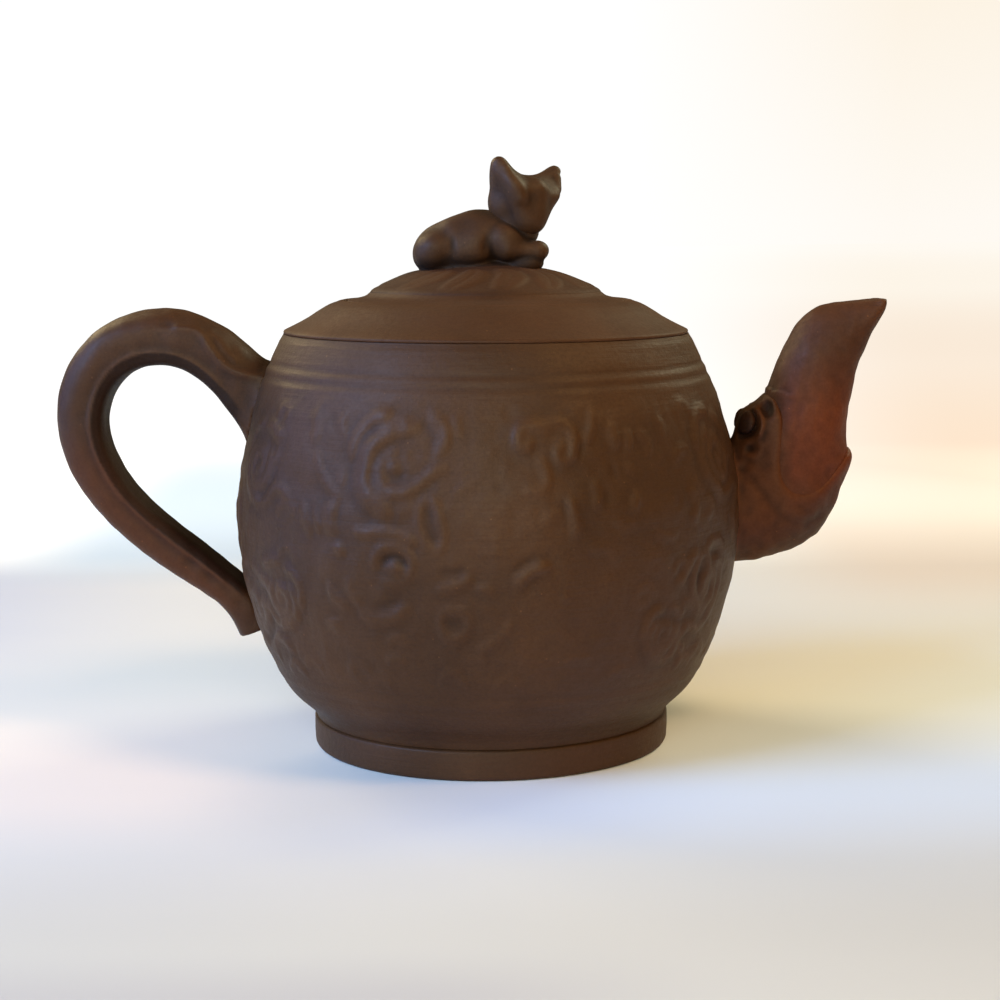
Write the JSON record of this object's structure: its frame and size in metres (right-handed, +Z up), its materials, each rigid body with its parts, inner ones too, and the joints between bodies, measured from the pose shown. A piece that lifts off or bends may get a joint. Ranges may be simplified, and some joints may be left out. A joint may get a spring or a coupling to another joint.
{
  "type": "yixing teapot",
  "caption": "Round stoneware teapot with a loop handle, a spout shaped as a beast's head, relief clouds on the belly and a lift-off lid with a lying animal as its knob.",
  "frame": {"origin": "on the surface the pot stands on, under the middle of the whole spout-to-handle length; the pot's own upright axis passes through x = +0.0036 m", "axes": "+X from the handle towards the spout, +Y to the side away from the camera, +Z up"},
  "size_m": [0.1822, 0.1096, 0.1281],
  "materials": {
    "clay_body": "unglazed dark brown stoneware, satin from handling, with pressed relief",
    "clay_inside": "unglazed dark brown stoneware, matt and unpolished inside and under the foot",
    "clay_spout": "unglazed reddish brown stoneware, satin",
    "clay_handle": "unglazed dark brown stoneware, satin, modelled ridges",
    "clay_lid": "unglazed dark brown stoneware, satin, carved relief on the dome",
    "clay_knob": "unglazed dark brown stoneware, rubbed smooth by the hand"
  },
  "bodies": {
    "pot": {"belly_wall": "clay_body", "base_disc": "clay_inside", "foot_ring": "clay_body", "shoulder_disc": "clay_body", "mouth_rim": "clay_inside", "strainer_disc": "clay_inside", "spout_head": "clay_spout", "spout_tube": "clay_spout", "spout_lower_lip": "clay_spout", "spout_eye_near": "clay_spout", "spout_eye_far": "clay_spout", "spout_ear_near": "clay_spout", "spout_ear_far": "clay_spout", "spout_curl_near": "clay_spout", "spout_curl_far": "clay_spout", "handle": "clay_handle", "handle_tail": "clay_handle"},
    "lid": {"lid_plate": "clay_lid", "lid_dome": "clay_lid", "lid_flange": "clay_inside", "finial_pad": "clay_knob", "beast_torso": "clay_knob", "beast_neck": "clay_knob", "beast_head": "clay_knob", "beast_haunch_near": "clay_knob", "beast_haunch_far": "clay_knob", "beast_foreleg_near": "clay_knob", "beast_foreleg_far": "clay_knob", "beast_ear_left": "clay_knob", "beast_ear_right": "clay_knob"}
  },
  "joints": [
    {"name": "lid_lift", "type": "slide", "parent": "pot", "child": "lid", "axis": [0, 0, 1], "range_m": [0, 0.06]}
  ]
}
